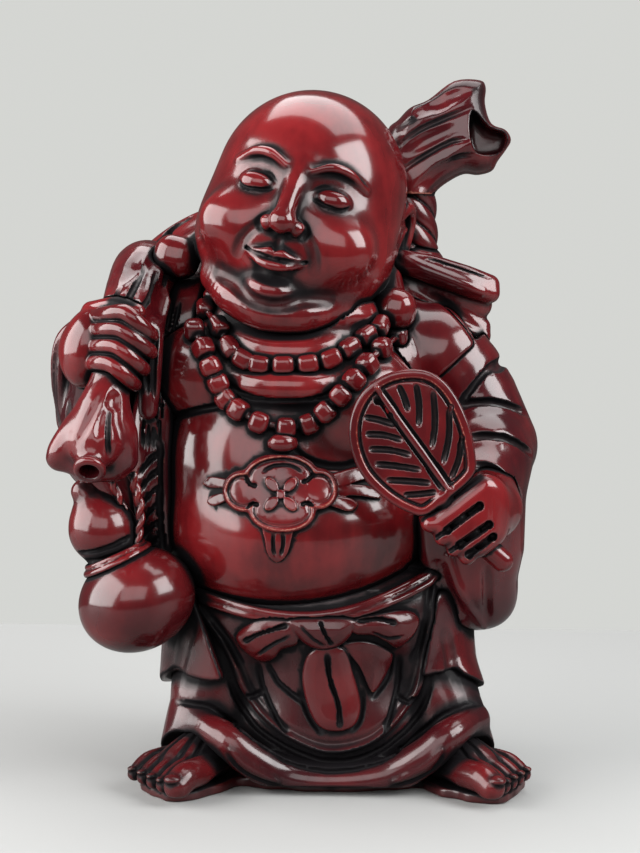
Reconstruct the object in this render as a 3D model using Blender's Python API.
"""A carved standing figure of a merry monk with a sack, as a set of glued pieces.

Every piece is roughed out from balls and tapered limbs, fused and smoothed as a carver rounds a
blank, and then cut to seat on the pieces that carry it, with a glue gap between them.
The front of the figure faces -Y, +X is to the viewer's right and the floor is at Z = 0.
"""

import math

import bmesh
import bpy
from mathutils import Euler, Matrix, Vector
from mathutils.bvhtree import BVHTree

MM = 0.001


def mm(*values):
    """Millimetres as metres: one number, or a point."""
    scaled = [value * MM for value in values]
    return scaled[0] if len(scaled) == 1 else Vector(scaled)


# How pieces are made and joined
GLUE_GAP = mm(0.3)
VOXEL = mm(1.6)
ROUGH_FACETS = 3000
BALL_DETAIL = 3

# Base: a thin slab under the robe, with a lobe under each foot
BASE_THICKNESS = mm(4.0)
BASE_HALF_WIDTH = mm(64.0)
BASE_HALF_DEPTH = mm(46.0)
BASE_PAD_HALF_WIDTH = mm(21.5)
BASE_PAD_HALF_LENGTH = mm(28.0)
BASE_PAD_SHIFT = mm(6.0)
BASE_CORNERS = 40

# Feet: bare, splayed outwards, each with a stub that goes up into the robe
FOOT_SPACING = mm(115.0)
FOOT_FORWARD = mm(33.0)
FOOT_SPLAY = math.radians(26.0)
FOOT_HALF_WIDTH = mm(16.5)
FOOT_LENGTH = mm(50.0)
INSTEP_HEIGHT = mm(17.0)
TOE_RADIUS = mm(3.9)
GREAT_TOE_RADIUS = mm(5.4)
TOE_LENGTH = mm(13.0)
TOE_COUNT = 5
ANKLE_RADIUS = mm(12.5)
ANKLE_STUB_TOP = mm(46.0)

# Torso: belly, chest, breasts and throat
BELLY_AT = mm(-16, -5, 108)
BELLY_HALF_WIDTH = mm(58.0)
BELLY_HALF_DEPTH = mm(57.0)
BELLY_HALF_HEIGHT = mm(43.0)
FLANK_AT = BELLY_AT + mm(-19, -3, 29)
FLANK_HALF_WIDTH = mm(37.0)
FLANK_HALF_DEPTH = mm(44.0)
FLANK_HALF_HEIGHT = mm(36.0)
CHEST_AT = BELLY_AT + mm(-1, 5, 57)
CHEST_HALF_WIDTH = mm(54.0)
CHEST_HALF_DEPTH = mm(43.0)
CHEST_HALF_HEIGHT = mm(42.0)
BREAST_SPACING = mm(54.0)
BREAST_FORWARD = mm(27.0)
BREAST_RADIUS = mm(21.0)
THROAT_AT = CHEST_AT + mm(2, -14, 31)
THROAT_HALF_WIDTH = mm(37.0)
THROAT_HALF_DEPTH = mm(30.0)
THROAT_HALF_HEIGHT = mm(14.0)

# Head: skull, full cheeks, long-lobed ears and a neck tenon, leaning to the viewer's right
HEAD_AT = CHEST_AT + mm(4, -11, 76)
HEAD_LEAN = math.radians(13.5)
HEAD_TURN = math.radians(-8.0)
HEAD_NOD = math.radians(-6.0)
SKULL_HALF_WIDTH = mm(40.5)
SKULL_HALF_DEPTH = mm(43.0)
SKULL_HALF_HEIGHT = mm(42.0)
SKULL_RISE = mm(8.0)
CHEEK_HALF_WIDTH = mm(42.0)
CHEEK_HALF_DEPTH = mm(39.0)
CHEEK_HALF_HEIGHT = mm(33.0)
CHEEK_DROP = mm(17.0)
NOSE_RADIUS = mm(6.5)
NOSE_LENGTH = mm(17.0)
EYE_SPACING = mm(31.0)
BROW_RISE = mm(9.5)
MOUTH_DROP = mm(29.0)
MOUTH_HALF_WIDTH = mm(11.0)
EAR_OUT = mm(36.5)
EAR_HALF_HEIGHT = mm(19.0)
EAR_HALF_DEPTH = mm(11.0)
EAR_BACK = mm(21.0)
EAR_HALF_THICKNESS = mm(6.0)
RIGHT_LOBE_AT = mm(-46.5, -4, -34)
LEFT_LOBE_AT = mm(48, 2, -32)
LOBE_RADIUS = mm(9.4)
NECK_RADIUS = mm(23.0)

# Beads and pendant
BEAD_RADIUS = mm(4.3)
BEAD_PITCH = mm(7.6)
BEAD_SINK = mm(1.2)
CORD_RADIUS = mm(2.0)
INNER_STRAND_HALF_WIDTH = mm(36.0)
INNER_STRAND_TOP = THROAT_AT.z + mm(10.0)
INNER_STRAND_BOTTOM = CHEST_AT.z + mm(7.5)
OUTER_STRAND_HALF_WIDTH = mm(44.0)
OUTER_STRAND_TOP = THROAT_AT.z + mm(8.0)
OUTER_STRAND_BOTTOM = CHEST_AT.z - mm(15.0)
STRAND_CENTRE = CHEST_AT.x + mm(-2.0)
DROP_BEAD_RADIUS = mm(5.0)
PENDANT_RISE = mm(17.0)
PENDANT_HALF_WIDTH = mm(22.5)
PENDANT_HALF_HEIGHT = mm(17.0)
PENDANT_THICKNESS = mm(4.5)

# Robes: an under-robe down to the base, a coat over the back and sides, an apron with a bow in front
HIP_AT = mm(-5, 1, 72)
HIP_HALF_WIDTH = mm(62.0)
HIP_HALF_DEPTH = mm(47.0)
HIP_HALF_HEIGHT = mm(34.0)
HEM_AT = mm(0, 2, 24)
HEM_HALF_WIDTH = mm(57.0)
HEM_HALF_DEPTH = mm(46.0)
HEM_HALF_HEIGHT = mm(34.0)
THIGH_RADIUS = mm(26.0)
KNEE_RADIUS = mm(18.0)
CUFF_RADIUS = mm(16.5)
ROLL_RADIUS = mm(6.2)
ROLL_HALF_PATH = (
    mm(2, -46, 5), mm(22, -47, 7), mm(37, -49, 15), mm(46, -50, 25), mm(54, -48, 29), mm(65, -43, 30),
    mm(72, -28, 25), mm(74, -12, 20),
)
COAT_THICKNESS = mm(5.0)
COAT_HEM_HEIGHT = mm(35.0)
COAT_OPENING_HALF_WIDTH = mm(44.0)
COAT_FLARE = mm(3.0)
COAT_RIGHT_SQUARENESS = 2.7
COAT_LEFT_SQUARENESS = 2.1
COAT_FOLDS = 14
COAT_FOLD_DEPTH = mm(1.5)
COAT_FRONT_TOP_DROP = mm(22.0)
COAT_SHOULDER_RADIUS = mm(22.0)
LAPEL_RADIUS = mm(9.0)
LAPEL_END_AT = BELLY_AT + mm(-56, -21, 0)
APRON_THICKNESS = mm(4.0)
APRON_HALF_WIDTH = mm(44.0)
APRON_TOP = BELLY_AT.z - mm(14.0)
APRON_BOTTOM = mm(17.0)
BOW_AT_HEIGHT = mm(66.0)
BOW_LOOP_LENGTH = mm(17.0)
BOW_LOOP_HEIGHT = mm(10.0)
BOW_THICKNESS = mm(6.0)
BOW_TAIL_LENGTH = mm(34.0)
BOW_TAIL_HALF_WIDTH = mm(9.0)
BOW_CENTRE = HIP_AT.x + mm(3.0)
BAND_RADIUS = mm(4.0)
BAND_DROP = mm(31.0)
BAND_HALF_WIDTH = mm(47.0)
BAND_SHIFT = mm(9.0)
BAND_RISE = mm(11.0)
BAND_TILT = mm(4.0)

# Arms: sleeves with a hanging drape, and fists with four fingers
LEFT_SHOULDER_AT = CHEST_AT + mm(61, 4, 14)
LEFT_ELBOW_AT = CHEST_AT + mm(83, -4, -24)
LEFT_FIST_AT = CHEST_AT + mm(72, -55, -48)
RIGHT_SHOULDER_AT = CHEST_AT + mm(-50, 4, 18)
RIGHT_ELBOW_AT = CHEST_AT + mm(-80, 2, -14)
RIGHT_FIST_AT = CHEST_AT + mm(-77, -43, 16)
SHOULDER_RADIUS = mm(23.0)
ELBOW_RADIUS = mm(20.0)
WRIST_RADIUS = mm(14.0)
LEFT_DRAPE = (
    [(mm(-4, -10, -3), mm(20)), (mm(-5, -12, -23), mm(19.5)), (mm(-5, -11, -41), mm(19)),
     (mm(-9, -9, -61), mm(15))],
    [(mm(-22, -26, -29), mm(7)), (mm(-20, -24, -43), mm(7)), (mm(-14, -18, -63), mm(8))],
)
RIGHT_DRAPE = (
    [(mm(1, -5, -5), mm(21)), (mm(-1, -14, -15), mm(16)), (mm(2, -13, -25), mm(12))],
    [(mm(7, -12, -11), mm(14)), (mm(11, -14, -29), mm(12))],
)
PALM_RADIUS = mm(13.0)
FINGER_RADIUS = mm(4.3)
FINGER_PITCH = mm(7.8)
FINGER_COUNT = 4
WRIST_STUB_RADIUS = mm(9.0)
FINGER_SLOPE = math.radians(36.0)
GRIP_SLOPE = math.radians(8.0)

# Fan: a leaf-shaped blade on a handle that goes through the left fist
FAN_LENGTH = mm(62.0)
FAN_HALF_WIDTH = mm(25.0)
FAN_THICKNESS = mm(4.0)
FAN_LEAN = math.radians(-27.0)
FAN_ROOT_OFFSET = mm(-13, -9, 1)
FAN_HANDLE_RADIUS = mm(4.2)
FAN_HANDLE_LENGTH = mm(36.0)
FAN_HANDLE_DIRECTION = mm(26, 6, -22)

# Gourd, hung below the right sleeve
GOURD_LOW_RADIUS = mm(24.0)
GOURD_HIGH_RADIUS = mm(13.5)
GOURD_WAIST_RADIUS = mm(8.5)
GOURD_BULB_SPACING = mm(32.0)
GOURD_STEM_LENGTH = mm(15.0)
GOURD_STEM_RADIUS = mm(4.0)
GOURD_LEAN = math.radians(-26.0)
GOURD_AT = mm(-80, -42, 79)
GOURD_CORD_RADIUS = mm(2.4)

# Sack on the back, gripped at its neck over the right shoulder and twisted shut behind the head
SACK_AT = mm(-30, 37, 168)
SACK_HALF_WIDTH = mm(79.0)
SACK_HALF_DEPTH = mm(37.0)
SACK_HALF_HEIGHT = mm(79.0)
SACK_FOLD_RADIUS = mm(5.0)
SACK_FOLD_RISE = mm(2.6)
TWIST_FOLD_SWINGS = (0.1, 0.45, 0.8, 1.15, 1.5)
TWIST_FOLD_LENGTH = mm(85.0)
NECK_FOLD_SWINGS = (-0.1, 0.3, 0.7)
NECK_FOLD_LENGTH = mm(65.0)
NECK_OVER_SHOULDER_RADIUS = mm(14.5)
NECK_GRIP_RADIUS = mm(7.8)
MOUTH_RADIUS = mm(12.0)
MOUTH_HOLLOW_RADIUS = mm(5.0)
MOUTH_HOLLOW_DEPTH = mm(10.0)
TWIST_FOOT_AT = SACK_AT + Vector((mm(65), -mm(6), SACK_HALF_HEIGHT - mm(31)))
TWIST_TOP_AT = TWIST_FOOT_AT + mm(-2, 0, 41)
TWIST_RADIUS = mm(10.5)
TWIST_LOBES = 4
TWIST_TURNS = 0.9
RUFFLE_OUTLINE = (
    (-13, 0.4), (-14, 9), (-10, 20), (-1, 30), (7, 33), (18, 42), (30, 42), (33, 38), (35, 23), (41, 20),
    (44, 16), (42, 12), (36, 2), (24, 0.4),
)
RUFFLE_MOUTH = ((26, 28), (33, 21), (40, 18), (41, 14), (38, 10), (28, 9), (25, 17))
RUFFLE_HALF_DEPTH = mm(16.0)
RUFFLE_HOLLOW = mm(19.0)
RUFFLE_SHIFT = mm(-2.0)
FOLD_RADIUS = mm(4.7)
FOLD_DROP = mm(4.0)
UPPER_FOLD = (mm(-11, -21, 6), mm(6, -26, 2), mm(21, -25, -3), mm(32, -21, -7))
LOWER_FOLD = (mm(-7, -27, -6), mm(6, -32, -13), mm(19, -31, -19), mm(29, -27, -23))


# Modelling tools


def blank():
    """An empty lump of material to add shapes to."""
    return bmesh.new()


def add_ball(lump, centre, radii, turn=None):
    """An ellipsoid. turn is a rotation matrix about its centre."""
    made = bmesh.ops.create_icosphere(lump, subdivisions=BALL_DETAIL, radius=1.0)
    size = Matrix.Diagonal((*radii, 1.0))
    rotation = turn.to_4x4() if turn else Matrix.Identity(4)
    place = Matrix.Translation(centre) @ rotation @ size
    bmesh.ops.transform(lump, matrix=place, verts=made["verts"])


def add_limb(lump, points, radii):
    """A tapered limb through points, made as the hull of each two neighbouring balls."""
    for start, end, thick, thin in zip(points, points[1:], radii, radii[1:]):
        pair = bmesh.new()
        for centre, radius in ((start, thick), (end, thin)):
            add_ball(pair, centre, (radius,) * 3)
        bmesh.ops.delete(pair, geom=pair.edges[:], context="EDGES_FACES")
        hull = bmesh.ops.convex_hull(pair, input=pair.verts)
        inside = [item for item in hull["geom_interior"] if isinstance(item, bmesh.types.BMVert)]
        bmesh.ops.delete(pair, geom=inside, context="VERTS")
        add_mesh(lump, pair)


def add_mesh(lump, other):
    """Adds another lump's faces and frees it."""
    scratch = bpy.data.meshes.new("scratch")
    other.to_mesh(scratch)
    other.free()
    lump.from_mesh(scratch)
    bpy.data.meshes.remove(scratch)


def add_loft(lump, rings):
    """A closed skin through rings of points, with a flat cap on the first and the last ring."""
    loops = [[lump.verts.new(point) for point in ring] for ring in rings]
    count = len(loops[0])
    for low, high in zip(loops, loops[1:]):
        for i in range(count):
            j = (i + 1) % count
            lump.faces.new((low[i], low[j], high[j], high[i]))
    lump.faces.new(loops[0][::-1])
    lump.faces.new(loops[-1])
    bmesh.ops.recalc_face_normals(lump, faces=lump.faces)


def add_prism(lump, outline, bottom, top):
    """An outline of (x, y) points stood up between two heights."""
    add_loft(lump, [[Vector((x, y, z)) for x, y in outline] for z in (bottom, top)])


def lacquer(name, colour, roughness=0.22):
    """Dark red lacquer: a glossy surface that isn't metal."""
    material = bpy.data.materials.new(name + "_lacquer")
    material.use_nodes = True
    shader = material.node_tree.nodes["Principled BSDF"]
    shader.inputs["Base Color"].default_value = (*colour, 1.0)
    shader.inputs["Roughness"].default_value = roughness
    shader.inputs["Metallic"].default_value = 0.0
    return material


SKIN_RED = (0.21, 0.022, 0.020)
ROBE_RED = (0.16, 0.016, 0.018)
TRIM_RED = (0.19, 0.019, 0.019)


def piece(name, lump, colour):
    """A named object from a lump, with its own material."""
    mesh = bpy.data.meshes.new(name)
    bmesh.ops.triangulate(lump, faces=lump.faces)
    lump.to_mesh(mesh)
    lump.free()
    made = bpy.data.objects.new(name, mesh)
    bpy.context.scene.collection.objects.link(made)
    mesh.materials.append(lacquer(name, colour))
    return made


def settled_mesh(made):
    """The object's mesh with its modifiers carried out."""
    bpy.context.view_layer.update()
    graph = bpy.context.evaluated_depsgraph_get()
    return bpy.data.meshes.new_from_object(made.evaluated_get(graph))


def settle(made):
    """Carries out the object's modifiers for good."""
    mesh = settled_mesh(made)
    made.modifiers.clear()
    old = made.data
    made.data = mesh
    bpy.data.meshes.remove(old)
    return made


def fuse(made, triangles, rounds=6, voxel=VOXEL):
    """Fuses overlapping shapes into one skin, rounds off where they meet, and thins the facets."""
    remesh = made.modifiers.new("fuse", "REMESH")
    remesh.mode = "VOXEL"
    remesh.voxel_size = voxel
    smooth = made.modifiers.new("round", "SMOOTH")
    smooth.factor = 0.5
    smooth.iterations = rounds
    settle(made)
    count = sum(len(face.vertices) - 2 for face in made.data.polygons)
    thin = made.modifiers.new("thin", "DECIMATE")
    thin.ratio = min(1.0, triangles / count)
    thin.use_collapse_triangulate = True
    settle(made)
    made.data.shade_smooth()
    return made


UNCUT = {}


def grown(made, by):
    """A hidden copy of a piece before its own cuts, larger by a distance all round, to cut or trim with."""
    copy = bpy.data.objects.new(made.name + "_grown", UNCUT.get(made.name, made.data).copy())
    bpy.context.scene.collection.objects.link(copy)
    copy.hide_render = True
    copy.display_type = "WIRE"
    grow = copy.modifiers.new("grow", "DISPLACE")
    grow.mid_level = 0.0
    grow.strength = by
    return settle(copy)


def boolean(made, other, operation):
    """Cuts, trims or joins a piece with another mesh, which is used up."""
    step = made.modifiers.new(operation.lower(), "BOOLEAN")
    step.operation = operation
    step.object = other
    settle(made)
    bpy.data.objects.remove(other)
    return made


def drop_scraps(made):
    """Keeps the largest body of a cut piece and throws the loose scraps away."""
    shape = bmesh.new()
    shape.from_mesh(made.data)
    left, bodies = set(shape.verts), []
    while left:
        body, edge = set(), [left.pop()]
        while edge:
            vert = edge.pop()
            body.add(vert)
            near = {e.other_vert(vert) for e in vert.link_edges} & left
            left -= near
            edge.extend(near)
        bodies.append(body)
    keep = max(bodies, key=lambda body: sum(f.calc_area() for f in {f for v in body for f in v.link_faces}))
    bmesh.ops.delete(shape, geom=[v for v in shape.verts if v not in keep], context="VERTS")
    shape.to_mesh(made.data)
    shape.free()
    return made


def seat(made, *carriers, gap=GLUE_GAP):
    """Cuts a piece to sit on its carriers with a glue gap."""
    UNCUT[made.name] = made.data.copy()
    surface = tree_of(made)
    cutters = bpy.data.collections.new("cutters")
    for carrier in carriers:
        for share in (1.0, 0.3):
            cutter = grown(carrier, gap * share)
            cutters.objects.link(cutter)
            if not surface.overlap(tree_of(cutter)):
                bpy.data.objects.remove(cutter)
    if cutters.objects:
        step = made.modifiers.new("seat", "BOOLEAN")
        step.operand_type = "COLLECTION"
        step.collection = cutters
        settle(made)
    for cutter in list(cutters.objects):
        bpy.data.objects.remove(cutter)
    bpy.data.collections.remove(cutters)
    drop_scraps(made)
    made.data.set_sharp_from_angle(angle=math.radians(40))
    return made


def cut_level(made, height, keep_above=True):
    """Saws a piece off level at a height."""
    reach = mm(400)
    saw = blank()
    square = [(-reach, -reach), (reach, -reach), (reach, reach), (-reach, reach)]
    low, high = (-reach, height) if keep_above else (height, reach)
    add_prism(saw, square, low, high)
    cutter = piece("saw", saw, ROBE_RED)
    return boolean(made, cutter, "DIFFERENCE")


def tree_of(*pieces):
    """The pieces' surfaces, for casting rays at."""
    points, faces = [], []
    for made in pieces:
        start = len(points)
        points += [v.co.copy() for v in made.data.vertices]
        faces += [[start + i for i in f.vertices] for f in made.data.polygons]
    return BVHTree.FromPolygons(points, faces)


def front_point(tree, x, z):
    """The surface point and normal that a viewer in front sees at x and z, or else the nearest to there."""
    point, normal, _, _ = tree.ray_cast(Vector((x, mm(-400), z)), Vector((0, 1, 0)))
    if point is None:
        point, normal, _, _ = tree.find_nearest(Vector((x, 0, z)))
    return point, normal


def ellipse(half_width, half_depth, centre=(0.0, 0.0), turn=0.0, corners=BASE_CORNERS):
    """Points of an ellipse seen from above."""
    points = []
    for i in range(corners):
        angle = math.tau * i / corners
        x, y = half_width * math.cos(angle), half_depth * math.sin(angle)
        points.append((
            centre[0] + x * math.cos(turn) - y * math.sin(turn),
            centre[1] + x * math.sin(turn) + y * math.cos(turn),
        ))
    return points


# Base and feet


def foot_place(side):
    """Where a foot stands, and its turn: side is -1 for the viewer's left and 1 for the right."""
    at = Vector((side * FOOT_SPACING / 2, -FOOT_FORWARD, BASE_THICKNESS + GLUE_GAP))
    return Matrix.Translation(at) @ Matrix.Rotation(side * FOOT_SPLAY, 4, "Z")


def make_base():
    slab = blank()
    add_prism(slab, ellipse(BASE_HALF_WIDTH, BASE_HALF_DEPTH), 0.0, BASE_THICKNESS)
    base = piece("base", slab, ROBE_RED)
    for side in (-1, 1):
        pad = blank()
        centre = (side * (FOOT_SPACING / 2 + BASE_PAD_SHIFT / 3), -FOOT_FORWARD - BASE_PAD_SHIFT)
        outline = ellipse(BASE_PAD_HALF_WIDTH, BASE_PAD_HALF_LENGTH, centre, side * FOOT_SPLAY)
        add_prism(pad, outline, 0.0, BASE_THICKNESS)
        boolean(base, piece("pad", pad, ROBE_RED), "UNION")
    tidy = base.modifiers.new("flat faces whole", "DECIMATE")
    tidy.decimate_type = "DISSOLVE"
    tidy.angle_limit = math.radians(1)
    return settle(base)


def make_foot(name, side):
    """Sole, instep, toes and the stub that goes up into the robe. The great toe is on the inner side."""
    place = foot_place(side)
    foot = blank()
    sole = mm(6)
    heel = FOOT_LENGTH / 2 - FOOT_HALF_WIDTH
    add_ball(foot, place @ Vector((0, heel, sole)), (FOOT_HALF_WIDTH * 0.8, FOOT_HALF_WIDTH, sole * 1.6))
    add_ball(foot, place @ Vector((0, -heel * 0.6, sole)), (FOOT_HALF_WIDTH, FOOT_HALF_WIDTH, sole * 1.4))
    ankle = place @ Vector((0, heel + mm(4), INSTEP_HEIGHT))
    stub = Vector((ankle.x * 0.88, ankle.y + mm(6), ANKLE_STUB_TOP))
    add_limb(foot, [place @ Vector((0, -heel, sole)), ankle, stub],
             [mm(7), ANKLE_RADIUS, ANKLE_RADIUS * 0.8])
    for i in range(TOE_COUNT):
        across = side * FOOT_HALF_WIDTH * (-0.82 + 0.43 * i)
        radius = GREAT_TOE_RADIUS if i == 0 else TOE_RADIUS
        root = Vector((across * 0.9, -FOOT_LENGTH * 0.28, radius * 1.2))
        tip = root + Vector((0, -TOE_LENGTH * (1.0 - 0.09 * i), -radius * 0.2))
        add_limb(foot, [place @ root, place @ tip], [radius * 1.05, radius])
    made = fuse(piece(name, foot, SKIN_RED), 380, rounds=2)
    return cut_level(made, BASE_THICKNESS + GLUE_GAP)


# Torso and head


def make_torso():
    body = blank()
    add_ball(body, BELLY_AT, (BELLY_HALF_WIDTH, BELLY_HALF_DEPTH, BELLY_HALF_HEIGHT))
    add_ball(body, FLANK_AT, (FLANK_HALF_WIDTH, FLANK_HALF_DEPTH, FLANK_HALF_HEIGHT))
    add_ball(body, CHEST_AT, (CHEST_HALF_WIDTH, CHEST_HALF_DEPTH, CHEST_HALF_HEIGHT))
    add_ball(body, THROAT_AT, (THROAT_HALF_WIDTH, THROAT_HALF_DEPTH, THROAT_HALF_HEIGHT))
    for side in (-1, 1):
        breast = CHEST_AT + Vector((side * BREAST_SPACING / 2, -BREAST_FORWARD, mm(6)))
        add_ball(body, breast, (BREAST_RADIUS * 1.2, BREAST_RADIUS * 0.9, BREAST_RADIUS))
    return fuse(piece("torso", body, SKIN_RED), 560, rounds=4)


def head_place():
    """The head's own frame: its centre between the ears, its lean, turn and nod."""
    turn = Euler((HEAD_NOD, 0, HEAD_TURN)).to_matrix()
    lean = Matrix.Rotation(HEAD_LEAN, 3, "Y")
    return Matrix.Translation(HEAD_AT) @ (lean @ turn).to_4x4()


def make_head():
    place = head_place()
    turn = place.to_3x3()
    head = blank()
    add_ball(head, place @ Vector((0, mm(4), SKULL_RISE)),
             (SKULL_HALF_WIDTH, SKULL_HALF_DEPTH, SKULL_HALF_HEIGHT), turn)
    add_ball(head, place @ Vector((0, -mm(3), -CHEEK_DROP)),
             (CHEEK_HALF_WIDTH, CHEEK_HALF_DEPTH, CHEEK_HALF_HEIGHT), turn)
    front = -CHEEK_HALF_DEPTH
    nose = [Vector((0, front - mm(1), 0)), Vector((0, front - mm(6), -NOSE_LENGTH))]
    add_limb(head, [place @ point for point in nose], [NOSE_RADIUS * 0.55, NOSE_RADIUS])
    lips = Vector((0, front - mm(1.5), -MOUTH_DROP))
    add_ball(head, place @ lips, (MOUTH_HALF_WIDTH, mm(5), mm(3.8)), turn)
    chin = Vector((0, front + mm(11), -MOUTH_DROP - mm(12)))
    add_ball(head, place @ chin, (MOUTH_HALF_WIDTH, mm(7), mm(7)), turn)
    for side in (-1, 1):
        lid = Vector((side * EYE_SPACING / 2, front + mm(6), 0))
        add_ball(head, place @ lid, (EYE_SPACING / 4, mm(6), mm(4.5)), turn)
        brow = [Vector((side * mm(6), front, BROW_RISE)),
                Vector((side * mm(24), front + mm(8), BROW_RISE - mm(1)))]
        add_limb(head, [place @ point for point in brow], [mm(3.2), mm(2.4)])
    for side, lobe in ((-1, RIGHT_LOBE_AT), (1, LEFT_LOBE_AT)):
        ear = Vector((side * EAR_OUT, EAR_BACK, -mm(6)))
        add_ball(head, place @ ear, (EAR_HALF_THICKNESS, EAR_HALF_DEPTH, EAR_HALF_HEIGHT), turn)
        root = ear + Vector((side * mm(4), -mm(3), -EAR_HALF_HEIGHT * 0.65))
        add_limb(head, [place @ root, place @ lobe], [LOBE_RADIUS * 0.5, LOBE_RADIUS * 0.65])
        add_ball(head, place @ lobe, (LOBE_RADIUS, LOBE_RADIUS * 1.1, LOBE_RADIUS * 0.92), turn)
    add_limb(head, [place @ Vector((0, mm(6), -CHEEK_DROP)), CHEST_AT + mm(1, -2, 22)],
             [NECK_RADIUS, NECK_RADIUS * 0.9])
    return fuse(piece("head", head, SKIN_RED), 1100, rounds=2)


# Beads and pendant


def strand_points(tree, half_width, top, bottom):
    """Bead centres along a hanging curve on the chest, one bead pitch apart, from shoulder to shoulder."""
    steps = 200
    path = []
    for i in range(steps + 1):
        across = 2 * i / steps - 1
        z = bottom + (top - bottom) * abs(across) ** 2.2
        point, normal = front_point(tree, STRAND_CENTRE + across * half_width, z)
        path.append(point + normal * (BEAD_RADIUS - BEAD_SINK))
    beads, along = [path[0]], 0.0
    for start, end in zip(path, path[1:]):
        along += (end - start).length
        if along >= BEAD_PITCH:
            beads.append(end)
            along = 0.0
    return beads


def make_strand(name, tree, half_width, top, bottom):
    """One string of round beads, threaded on a cord."""
    beads = strand_points(tree, half_width, top, bottom)
    string = blank()
    for bead in beads:
        add_ball(string, bead, (BEAD_RADIUS,) * 3)
    add_limb(string, beads, [CORD_RADIUS] * len(beads))
    return fuse(piece(name, string, TRIM_RED), 24 * len(beads), rounds=1, voxel=mm(0.9))


def make_drop_bead(tree):
    """The large bead at the lowest point of the outer string."""
    z = OUTER_STRAND_BOTTOM - BEAD_RADIUS - DROP_BEAD_RADIUS - GLUE_GAP
    point, normal = front_point(tree, STRAND_CENTRE, z)
    bead = blank()
    radii = (DROP_BEAD_RADIUS * 1.25, DROP_BEAD_RADIUS, DROP_BEAD_RADIUS * 0.8)
    add_ball(bead, point + normal * (DROP_BEAD_RADIUS * 0.45), radii)
    return fuse(piece("drop_bead", bead, TRIM_RED), 80, rounds=0, voxel=mm(0.9))


def make_pendant(tree):
    """A four-lobed lock plate that lies on the belly."""
    point, normal = front_point(tree, BELLY_AT.x - mm(5), BELLY_AT.z + PENDANT_RISE)
    turn = (-normal).to_track_quat("Y", "Z").to_matrix()
    plate = blank()
    lobes = (
        (0.0, 0.35, 0.62, 0.62), (0.0, -0.42, 0.55, 0.58),
        (-0.58, -0.05, 0.42, 0.60), (0.58, -0.05, 0.42, 0.60),
    )
    for across, up, wide, high in lobes:
        centre = point + turn @ Vector((across * PENDANT_HALF_WIDTH, 0, up * PENDANT_HALF_HEIGHT))
        radii = (wide * PENDANT_HALF_WIDTH, PENDANT_THICKNESS, high * PENDANT_HALF_HEIGHT)
        add_ball(plate, centre, radii, turn)
    return fuse(piece("pendant", plate, TRIM_RED), 240, rounds=1, voxel=mm(1.0))


# Robes


def make_under_robe():
    """The long robe from the hips to the base, with a cuff over each foot and a rolled front hem."""
    robe = blank()
    add_ball(robe, HIP_AT, (HIP_HALF_WIDTH, HIP_HALF_DEPTH, HIP_HALF_HEIGHT))
    add_ball(robe, HEM_AT, (HEM_HALF_WIDTH, HEM_HALF_DEPTH, HEM_HALF_HEIGHT))
    add_limb(robe, [HIP_AT, HEM_AT], [HIP_HALF_DEPTH * 0.95, HEM_HALF_DEPTH * 0.95])
    for side in (-1, 1):
        thigh = Vector((side * mm(28), -mm(4), HIP_AT.z - mm(2)))
        knee = Vector((side * mm(42), -mm(13), HIP_AT.z - mm(26)))
        cuff = Vector((side * (FOOT_SPACING / 2 - mm(2.5)), -FOOT_FORWARD + mm(8), CUFF_RADIUS + mm(8)))
        add_limb(robe, [thigh, knee, cuff], [THIGH_RADIUS, KNEE_RADIUS, CUFF_RADIUS])
        roll = [Vector((side * point.x, point.y, point.z)) for point in ROLL_HALF_PATH]
        add_limb(robe, [ROLL_HALF_PATH[0], *roll], [ROLL_RADIUS] * (len(roll) + 1))
    made = fuse(piece("under_robe", robe, ROBE_RED), 700, rounds=2)
    return cut_level(made, BASE_THICKNESS + GLUE_GAP)


def coat_ring(height, flare):
    """The coat's outline at a height: squarer on its right than its left, with shallow folds at the back."""
    ring = []
    corners = COAT_FOLDS * 8
    for i in range(corners):
        angle = math.tau * i / corners
        across, along = math.cos(angle), math.sin(angle)
        power = COAT_RIGHT_SQUARENESS if across < 0 else COAT_LEFT_SQUARENESS
        reach = (abs(across) ** power + abs(along) ** power) ** (-1 / power)
        fold = COAT_FOLD_DEPTH * math.cos(COAT_FOLDS * angle) if along > -0.1 else 0.0
        wide, deep = (half + COAT_THICKNESS + flare + fold for half in (HIP_HALF_WIDTH, HIP_HALF_DEPTH))
        ring.append(Vector((HIP_AT.x + wide * across * reach, HIP_AT.y + deep * along * reach, height)))
    return ring


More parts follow.
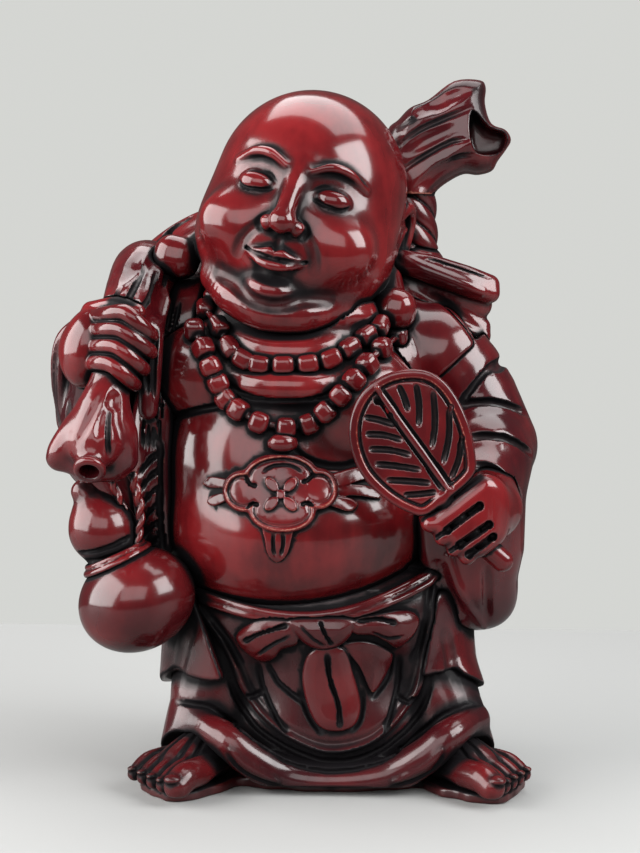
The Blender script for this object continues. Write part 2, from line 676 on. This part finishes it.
def make_coat_skirt():
    """The coat below the waist: a skin over the under-robe's sides and back, open in front."""
    skirt = blank()
    top = BELLY_AT.z
    below, above = HIP_AT.z - mm(12), HIP_AT.z + mm(8)
    levels = ((COAT_HEM_HEIGHT, COAT_FLARE), (below, mm(1)), (above, 0.0), (top, -mm(4)))
    add_loft(skirt, [coat_ring(height, flare) for height, flare in levels])
    made = fuse(piece("coat_skirt", skirt, ROBE_RED), ROUGH_FACETS * 2, rounds=2)
    opening = blank()
    left = HIP_AT.x - COAT_OPENING_HALF_WIDTH
    right = HIP_AT.x + COAT_OPENING_HALF_WIDTH
    front = -mm(200)
    outline = [(left, front), (right, front), (right * 0.92, -mm(8)), (left * 0.92, -mm(8))]
    add_prism(opening, outline, 0.0, mm(200))
    boolean(made, piece("opening", opening, ROBE_RED), "DIFFERENCE")
    slope = blank()
    far = mm(200)
    low = top - COAT_FRONT_TOP_DROP
    side_view = [(front, low), (-mm(26), low), (-mm(4), top), (-mm(4), far), (front, far)]
    add_loft(slope, [[Vector((x, y, z)) for y, z in side_view] for x in (-far, far)])
    boolean(made, piece("slope", slope, ROBE_RED), "DIFFERENCE")
    lapel = blank()
    add_limb(lapel, [LAPEL_END_AT, LAPEL_END_AT + mm(4, 4, -22)], [LAPEL_RADIUS, LAPEL_RADIUS * 0.9])
    boolean(made, piece("lapel", lapel, ROBE_RED), "UNION")
    return fuse(made, 900, rounds=1)


def apron_outline():
    """The apron seen from in front: straight sides and a round lower edge, as (x, z) points."""
    side = APRON_HALF_WIDTH
    turn_height = APRON_BOTTOM + side * 0.9
    points = [(-side * 1.08, APRON_TOP), (-side, turn_height)]
    for i in range(1, 12):
        angle = math.pi * i / 12
        points.append((-side * math.cos(angle), turn_height - side * 0.9 * math.sin(angle)))
    points += [(side, turn_height), (side * 1.08, APRON_TOP)]
    return points


def make_apron(under_robe):
    """The front cloth: a skin over the under-robe, trimmed to the apron's outline."""
    panel = blank()
    rings = [[Vector((x + HIP_AT.x * 0.5, y, z)) for x, z in apron_outline()] for y in (-mm(90), -mm(20))]
    add_loft(panel, rings)
    made = piece("apron", panel, ROBE_RED)
    skin = grown(under_robe, APRON_THICKNESS)
    clean = skin.modifiers.new("clean", "REMESH")
    clean.mode = "VOXEL"
    clean.voxel_size = VOXEL * 3
    return fuse(boolean(made, settle(skin), "INTERSECT"), 340, rounds=2)


def make_bow(tree):
    """A sash bow on the apron: a middle loop, a loop at each side and two hanging tails."""
    bow = blank()
    for side, rise, tilt in ((-1, -mm(4), -0.25), (1, mm(2), 0.15), (0, mm(1), 0.0)):
        point, _ = front_point(tree, BOW_CENTRE + side * BOW_LOOP_LENGTH * 1.5, BOW_AT_HEIGHT + rise)
        turn = Matrix.Rotation(tilt, 3, "Y")
        add_ball(bow, point, (BOW_LOOP_LENGTH, BOW_THICKNESS, BOW_LOOP_HEIGHT), turn)
    for start, length in ((mm(2), BOW_TAIL_LENGTH), (mm(14), BOW_TAIL_LENGTH * 0.75)):
        for i in range(5):
            drop = length * i / 4
            point, _ = front_point(tree, BOW_CENTRE + start + drop * 0.1, BOW_AT_HEIGHT - drop)
            add_ball(bow, point, (BOW_TAIL_HALF_WIDTH * (0.6 + 0.1 * i), BOW_THICKNESS * 0.7, length / 5))
    return fuse(piece("apron_bow", bow, TRIM_RED), 300, rounds=2, voxel=mm(1.2))


def make_waist_band(tree):
    """A rolled band across the front of the waist, following the belly's lower edge."""
    band = blank()
    steps = 22
    path = []
    for i in range(steps + 1):
        across = 2 * i / steps - 1
        z = BELLY_AT.z - BAND_DROP + BAND_RISE * across * across + BAND_TILT * across
        point, normal = front_point(tree, BELLY_AT.x + BAND_SHIFT + across * BAND_HALF_WIDTH, z)
        path.append(point + normal * BAND_RADIUS * 0.4)
    add_limb(band, path, [BAND_RADIUS] * len(path))
    return fuse(piece("waist_band", band, TRIM_RED), 300, rounds=1)


def make_coat_body():
    """The coat over the shoulders and back: a skin over the torso, open down the front."""
    coat = blank()
    grow = COAT_THICKNESS
    chest_half = Vector((CHEST_HALF_WIDTH, CHEST_HALF_DEPTH, CHEST_HALF_HEIGHT))
    add_ball(coat, CHEST_AT + mm(0, 4, 0), chest_half + Vector((grow, grow, grow)))
    belly_half = Vector((BELLY_HALF_WIDTH, BELLY_HALF_DEPTH, BELLY_HALF_HEIGHT))
    add_ball(coat, BELLY_AT + mm(0, 6, 4), belly_half + Vector((grow, 0, grow)))
    add_ball(coat, LEFT_SHOULDER_AT + mm(-8, -2, 2), (COAT_SHOULDER_RADIUS,) * 3)
    add_ball(coat, RIGHT_SHOULDER_AT + mm(7, -2, 7), (COAT_SHOULDER_RADIUS,) * 3)
    lapel = [RIGHT_SHOULDER_AT + mm(-1, -18, 9), RIGHT_SHOULDER_AT + mm(-6, -30, -15),
             RIGHT_SHOULDER_AT + mm(-8, -33, -37), LAPEL_END_AT]
    add_limb(coat, lapel, [LAPEL_RADIUS] * len(lapel))
    made = fuse(piece("coat_body", coat, ROBE_RED), ROUGH_FACETS)
    cut_level(made, BELLY_AT.z + GLUE_GAP)
    opening = blank()
    half = CHEST_HALF_WIDTH * 0.84
    back = -mm(6)
    low = [(BELLY_AT.x - half * 1.22, back), (BELLY_AT.x + half * 1.22, back)]
    high = [(CHEST_AT.x - half * 0.8, back), (CHEST_AT.x + half * 0.8, back)]
    rings = []
    for (left, right), height in ((low, BELLY_AT.z - mm(60)), (high, CHEST_AT.z + mm(70))):
        front = -mm(200)
        rings.append([Vector((left[0], front, height)), Vector((right[0], front, height)),
                      Vector((*right, height)), Vector((*left, height))])
    add_loft(opening, rings)
    return fuse(boolean(made, piece("opening", opening, ROBE_RED), "DIFFERENCE"), 480, rounds=2)


# Arms


def make_sleeve(name, shoulder, elbow, fist, drape):
    """A wide sleeve: upper arm, forearm towards the fist, and the drape that hangs from the elbow."""
    sleeve = blank()
    wrist = elbow.lerp(fist, 0.68)
    add_limb(sleeve, [shoulder, elbow, wrist], [SHOULDER_RADIUS, ELBOW_RADIUS, WRIST_RADIUS])
    for fold in drape:
        add_limb(sleeve, [elbow + offset for offset, _ in fold], [radius for _, radius in fold])
    return fuse(piece(name, sleeve, ROBE_RED), 480, rounds=4)


def make_fist(name, fist, elbow, fingers_along, fingers_across, outward):
    """A fist: palm, four bent fingers, a thumb, and a wrist stub that goes into the sleeve."""
    hand = blank()
    add_ball(hand, fist, (PALM_RADIUS, PALM_RADIUS * 0.9, PALM_RADIUS * 1.3))
    add_limb(hand, [fist, fist.lerp(elbow, 0.55)], [PALM_RADIUS, WRIST_STUB_RADIUS])
    for i in range(FINGER_COUNT):
        root = fist + fingers_across * FINGER_PITCH * (i - (FINGER_COUNT - 1) / 2)
        reach = PALM_RADIUS * (1.25 if i < FINGER_COUNT - 1 else 1.1)
        path = [
            root - fingers_along * reach * 0.75 + outward * PALM_RADIUS * 0.45,
            root + fingers_along * reach * 0.35 + outward * PALM_RADIUS * 1.0,
            root + fingers_along * reach * 1.0 + outward * PALM_RADIUS * 0.55,
            root + fingers_along * reach * 1.1 - outward * PALM_RADIUS * 0.1,
        ]
        add_limb(hand, path, [FINGER_RADIUS, FINGER_RADIUS, FINGER_RADIUS * 0.95, FINGER_RADIUS * 0.85])
    return fuse(piece(name, hand, SKIN_RED), 400, rounds=1, voxel=mm(1.2))


# Fan and gourd


def make_fan():
    """A leaf-shaped blade that leans across the chest, on a handle that goes through the left fist."""
    turn = Matrix.Rotation(FAN_LEAN, 3, "Y")
    outline = []
    corners = 36
    for i in range(corners):
        angle = math.tau * i / corners
        along = 0.5 + 0.5 * math.cos(angle)
        wide = math.sin(angle) * (1.0 - 0.2 * math.cos(angle))
        outline.append(Vector((wide * FAN_HALF_WIDTH, 0, along * FAN_LENGTH)))
    blade_root = LEFT_FIST_AT + FAN_ROOT_OFFSET
    blade = blank()
    rings = []
    for depth, size in ((-1, 0.93), (-0.6, 1.0), (0.6, 1.0), (1, 0.93)):
        middle = Vector((0, depth * FAN_THICKNESS / 2, FAN_LENGTH * 0.5 * (1 - size)))
        rings.append([blade_root + turn @ (point * size + middle) for point in outline])
    add_loft(blade, rings)
    handle = blank()
    blade_middle = blade_root + turn @ Vector((0, 0, FAN_LENGTH * 0.25))
    end = blade_root + FAN_HANDLE_DIRECTION.normalized() * FAN_HANDLE_LENGTH
    add_limb(handle, [blade_middle, blade_root, end], [FAN_HANDLE_RADIUS] * 3)
    grip = fuse(piece("handle", handle, TRIM_RED), 160, rounds=0, voxel=mm(1.0))
    return boolean(piece("fan", blade, TRIM_RED), grip, "UNION")


def gourd_profile():
    """(radius, height) of the gourd from its base up to its stem, worked out from the two bulbs."""
    points = []
    low, high, waist = GOURD_LOW_RADIUS, GOURD_HIGH_RADIUS, GOURD_WAIST_RADIUS
    for i in range(1, 9):
        angle = math.pi * (i / 10.5) - math.pi / 2
        points.append((low * math.cos(angle), low * math.sin(angle) * 0.9))
    waist_height = low * 0.62 + (GOURD_BULB_SPACING - low * 0.62 - high * 0.6) / 2
    points.append((waist, waist_height))
    for i in range(5):
        angle = -0.75 + 1.75 * i / 4
        points.append((high * math.cos(angle), GOURD_BULB_SPACING + high * math.sin(angle)))
    top = GOURD_BULB_SPACING + high * 0.9
    points.append((GOURD_STEM_RADIUS, top + mm(2)))
    points.append((GOURD_STEM_RADIUS * 0.9, top + GOURD_STEM_LENGTH * 0.45))
    return points


def gourd_place():
    return Matrix.Translation(GOURD_AT) @ Matrix.Rotation(GOURD_LEAN, 4, "Y")


def make_gourd():
    """A bottle gourd of two bulbs with a short stem."""
    place = gourd_place()
    body = blank()
    rings = []
    for radius, height in gourd_profile():
        loop = ellipse(radius, radius, corners=20)
        rings.append([place @ Vector((x, y, height)) for x, y in loop])
    add_loft(body, rings)
    gourd = piece("gourd", body, TRIM_RED)
    gourd.data.shade_smooth()
    return gourd


def make_gourd_cord():
    """The cord tied round the gourd's waist, with two strands that go up under the sack's mouth."""
    place = gourd_place()
    waist = next((r, z) for r, z in gourd_profile() if r == GOURD_WAIST_RADIUS)
    radius = waist[0] + GOURD_CORD_RADIUS * 0.6
    cord = blank()
    corners = 18
    loop = [place @ Vector((x, y, waist[1])) for x, y in ellipse(radius, radius, corners=corners)]
    add_limb(cord, loop + loop[:1], [GOURD_CORD_RADIUS] * (corners + 1))
    hang = RIGHT_FIST_AT + mm(8, 4, -34)
    for spread in (-1, 1):
        start = place @ Vector((radius * 0.9, spread * mm(3), waist[1]))
        path = [start, start.lerp(hang, 0.5) + mm(4, 0, 0), hang + Vector((spread * mm(3), 0, 0))]
        add_limb(cord, path, [GOURD_CORD_RADIUS] * 3)
    return fuse(piece("gourd_cord", cord, TRIM_RED), 260, rounds=1, voxel=mm(1.0))


# Sack


def sack_fold_lines(tree):
    """Where cloth folds run over the sack's back, from its twisted end and from its neck."""
    neck = SACK_AT + mm(-50, 3, 37)
    groups = (
        (TWIST_FOOT_AT + mm(0, 12, -4), -1, 0.0, TWIST_FOLD_LENGTH, mm(30), TWIST_FOLD_SWINGS),
        (neck, 1, 0.4, NECK_FOLD_LENGTH, mm(20), NECK_FOLD_SWINGS),
    )
    for start, way, fall, length, back, swings in groups:
        for swing in swings:
            direction = Vector((way * math.cos(swing), 0, -math.sin(swing) - fall))
            course = direction * length + Vector((0, back, 0))
            yield [tree.find_nearest(start + course * share)[:2] for share in (0.1, 0.4, 0.7, 1.0)]


def make_sack():
    """The full sack on the back, with the main folds of its cloth."""
    sack = blank()
    add_ball(sack, SACK_AT, (SACK_HALF_WIDTH, SACK_HALF_DEPTH, SACK_HALF_HEIGHT))
    low = SACK_AT - Vector((0, 0, SACK_HALF_HEIGHT * 0.4))
    add_ball(sack, low, (SACK_HALF_WIDTH * 0.9, SACK_HALF_DEPTH * 1.02, SACK_HALF_HEIGHT * 0.62))
    rise = [SACK_AT.lerp(TWIST_FOOT_AT, 0.45), TWIST_FOOT_AT - mm(0, 0, 2)]
    add_limb(sack, rise, [mm(34), TWIST_RADIUS * 1.5])
    made = fuse(piece("sack", sack, ROBE_RED), ROUGH_FACETS, rounds=6)
    folded = blank()
    folded.from_mesh(made.data)
    for line in sack_fold_lines(tree_of(made)):
        rises = [SACK_FOLD_RISE * share for share in (0.7, 1.0, 0.9, 0.2)]
        middles = [point - normal * (SACK_FOLD_RADIUS - rise) for (point, normal), rise in zip(line, rises)]
        add_limb(folded, middles, [SACK_FOLD_RADIUS] * len(middles))
    bpy.data.objects.remove(made)
    return fuse(piece("sack", folded, ROBE_RED), 1000, rounds=2)


def neck_path():
    """The sack's neck, as points and radii: over the right shoulder, through the fist and out below it."""
    over, grip = NECK_OVER_SHOULDER_RADIUS, NECK_GRIP_RADIUS
    return (
        (RIGHT_SHOULDER_AT + mm(-3, 30, 23), over * 1.25), (RIGHT_SHOULDER_AT + mm(-10, 14, 22), over * 1.1),
        (RIGHT_SHOULDER_AT + mm(-13, -5, 29), over), (RIGHT_SHOULDER_AT + mm(-16, -25, 22), over * 0.9),
        (RIGHT_FIST_AT + mm(9, 5, 16), grip * 1.35), (RIGHT_FIST_AT + mm(6, -3, 2), grip),
        (RIGHT_FIST_AT + mm(4, -7, -12), grip), (RIGHT_FIST_AT + mm(1, -12, -24), MOUTH_RADIUS * 0.88),
        (RIGHT_FIST_AT + mm(-1, -15, -35), MOUTH_RADIUS),
    )


def make_sack_neck():
    """The gathered neck, a fold of it beside the fist, and its hollow mouth with two pointed lobes."""
    neck = blank()
    points, radii = zip(*neck_path())
    add_limb(neck, points, radii)
    beside = [mm(20, 17, 21), mm(18, 7, 8), mm(19, 3, -8), mm(18, 3, -24)]
    add_limb(neck, [RIGHT_FIST_AT + offset for offset in beside], [mm(6), mm(6), mm(5), mm(4)])
    rim = RIGHT_FIST_AT + mm(-2, -23, -43)
    add_limb(neck, [points[-1], rim], [mm(8), mm(6.8)])
    right_lobe = [mm(0, -9, -23), mm(-8, -12, -32), mm(-16, -13, -42), mm(-18, -13, -45)]
    add_limb(neck, [RIGHT_FIST_AT + offset for offset in right_lobe], [mm(7), mm(7), mm(4.4), mm(3)])
    left_lobe = [mm(3, -9, -23), mm(7, -11, -33), mm(9, -11, -43)]
    add_limb(neck, [RIGHT_FIST_AT + offset for offset in left_lobe], [mm(8), mm(8), mm(6.6)])
    made = fuse(piece("sack_neck", neck, ROBE_RED), 600, rounds=1)
    inward = (points[-1] - rim).normalized()
    hollow = blank()
    well = [rim - inward * mm(8), rim + inward * MOUTH_HOLLOW_DEPTH]
    add_limb(hollow, well, [MOUTH_HOLLOW_RADIUS * 1.1, MOUTH_HOLLOW_RADIUS * 0.6])
    return boolean(made, piece("hollow", hollow, ROBE_RED), "DIFFERENCE")


def lobed_ring(centre, turn, radius, lobes, wave, phase, corners=24):
    """A ring with rounded lobes, square to its turn's Z axis."""
    points = []
    for i in range(corners):
        angle = math.tau * i / corners
        reach = radius * (1 + wave * math.cos(lobes * (angle - phase)))
        points.append(centre + turn @ Vector((reach * math.cos(angle), reach * math.sin(angle), 0)))
    return points


def make_twist():
    """The sack's other end, twisted shut: a lobed column that turns as it rises."""
    steps = 9
    axis = TWIST_TOP_AT - TWIST_FOOT_AT
    turn = axis.to_track_quat("Z", "X").to_matrix()
    rings = []
    for i in range(steps + 1):
        share = i / steps
        radius = TWIST_RADIUS * (1.18 - 0.5 * share + 0.42 * share * share)
        phase = math.tau * TWIST_TURNS * share
        rings.append(lobed_ring(TWIST_FOOT_AT + axis * share, turn, radius, TWIST_LOBES, 0.1, phase))
    twist = blank()
    add_loft(twist, rings)
    return piece("sack_twist", twist, ROBE_RED)


def make_ruffle():
    """The loose cloth above the twist: a flattened, flared bag with a mouth on the viewer's right."""
    outline = [TWIST_TOP_AT + mm(x, 0, z) for x, z in RUFFLE_OUTLINE]
    middle = sum(outline, Vector()) / len(outline)
    rings = []
    for depth in (-1.0, -0.8, -0.45, 0.0, 0.45, 0.8, 1.0):
        size = 0.5 + 0.5 * math.sqrt(1 - depth * depth)
        shift = Vector((0, RUFFLE_SHIFT + depth * RUFFLE_HALF_DEPTH, 0))
        rings.append([middle + (point - middle) * size + shift for point in outline])
    cloth = blank()
    add_loft(cloth, rings)
    neck = TWIST_TOP_AT + (TWIST_TOP_AT - TWIST_FOOT_AT).normalized() * (TWIST_RADIUS * 0.9 + GLUE_GAP)
    add_limb(cloth, [neck, middle], [TWIST_RADIUS, TWIST_RADIUS * 1.2])
    made = fuse(piece("sack_ruffle", cloth, ROBE_RED), 600, rounds=2, voxel=mm(1.2))
    mouth = blank()
    edge = [TWIST_TOP_AT + mm(x, 0, z) for x, z in RUFFLE_MOUTH]
    front = RUFFLE_SHIFT - RUFFLE_HALF_DEPTH
    ends = (front - mm(10), front + RUFFLE_HOLLOW)
    add_loft(mouth, [[point + Vector((0, y, 0)) for point in edge] for y in ends])
    boolean(made, piece("mouth", mouth, ROBE_RED), "DIFFERENCE")
    return cut_level(made, TWIST_TOP_AT.z + GLUE_GAP)


def make_folds():
    """Two tall pleats of sack cloth that come forward over the left shoulder."""
    folds = blank()
    for fold in (UPPER_FOLD, LOWER_FOLD):
        path = [TWIST_FOOT_AT + offset for offset in fold]
        for shift in (Vector(), Vector((0, 0, -FOLD_DROP)), mm(0, 14, 0)):
            add_limb(folds, [point + shift for point in path], [FOLD_RADIUS] * len(path))
    return fuse(piece("sack_folds", folds, ROBE_RED), 360, rounds=2)


# Assembly: each piece is cut to sit on the pieces that were made before it


def clear_scene():
    for old in list(bpy.data.objects):
        bpy.data.objects.remove(old)


def build():
    clear_scene()
    make_base()
    feet = [make_foot("right_foot", -1), make_foot("left_foot", 1)]
    head = make_head()
    torso = seat(make_torso(), head)
    chest = tree_of(torso)
    outer_curve = (OUTER_STRAND_HALF_WIDTH, OUTER_STRAND_TOP, OUTER_STRAND_BOTTOM)
    outer = seat(make_strand("outer_beads", chest, *outer_curve), torso, head)
    inner_curve = (INNER_STRAND_HALF_WIDTH, INNER_STRAND_TOP, INNER_STRAND_BOTTOM)
    inner = seat(make_strand("inner_beads", chest, *inner_curve), torso, head, outer)
    drop = seat(make_drop_bead(chest), torso, outer)
    pendant = seat(make_pendant(chest), torso, drop)
    under_robe = make_under_robe()
    apron = seat(make_apron(under_robe), under_robe, torso)
    seat(under_robe, torso, *feet)
    bow = seat(make_bow(tree_of(apron, under_robe)), apron, under_robe, torso)
    band = seat(make_waist_band(tree_of(torso, under_robe, apron)), torso, under_robe, apron, bow)
    coat_skirt = seat(make_coat_skirt(), under_robe, torso, apron, band, bow)
    coat_body = seat(make_coat_body(), torso, head, coat_skirt, under_robe, outer, inner)
    body = [torso, head, coat_body, coat_skirt, under_robe]
    jewels = [outer, inner, drop, pendant]
    fan = seat(make_fan(), torso, *jewels)
    finger_line = Vector((math.cos(FINGER_SLOPE), 0, math.sin(FINGER_SLOPE)))
    finger_row = Vector((finger_line.z, 0, -finger_line.x))
    front = Vector((0, -1, 0))
    left_hand = make_fist("left_hand", LEFT_FIST_AT, LEFT_ELBOW_AT, -finger_line, finger_row, front)
    seat(left_hand, fan, torso)
    left_sleeve = make_sleeve("left_sleeve", LEFT_SHOULDER_AT, LEFT_ELBOW_AT, LEFT_FIST_AT, LEFT_DRAPE)
    seat(left_sleeve, *body, *jewels, fan, left_hand, apron, band, bow)
    sack_neck = seat(make_sack_neck(), *body, *jewels)
    grip_line = Vector((math.cos(GRIP_SLOPE), 0, math.sin(GRIP_SLOPE)))
    grip_row = Vector((grip_line.z, 0, -grip_line.x))
    right_hand = make_fist("right_hand", RIGHT_FIST_AT, RIGHT_ELBOW_AT, grip_line, grip_row, front)
    seat(right_hand, sack_neck, *body)
    gourd = seat(make_gourd(), *body, band, sack_neck, right_hand)
    right_sleeve = make_sleeve("right_sleeve", RIGHT_SHOULDER_AT, RIGHT_ELBOW_AT, RIGHT_FIST_AT, RIGHT_DRAPE)
    seat(right_sleeve, *body, *jewels, sack_neck, right_hand, gourd)
    seat(make_gourd_cord(), gourd, right_sleeve, right_hand, sack_neck, *body)
    sack = seat(make_sack(), *body, left_sleeve, right_sleeve, sack_neck)
    twist = seat(make_twist(), sack, head)
    ruffle = seat(make_ruffle(), twist, head, sack)
    seat(make_folds(), *body, *jewels, left_sleeve, sack, twist, ruffle)


build()
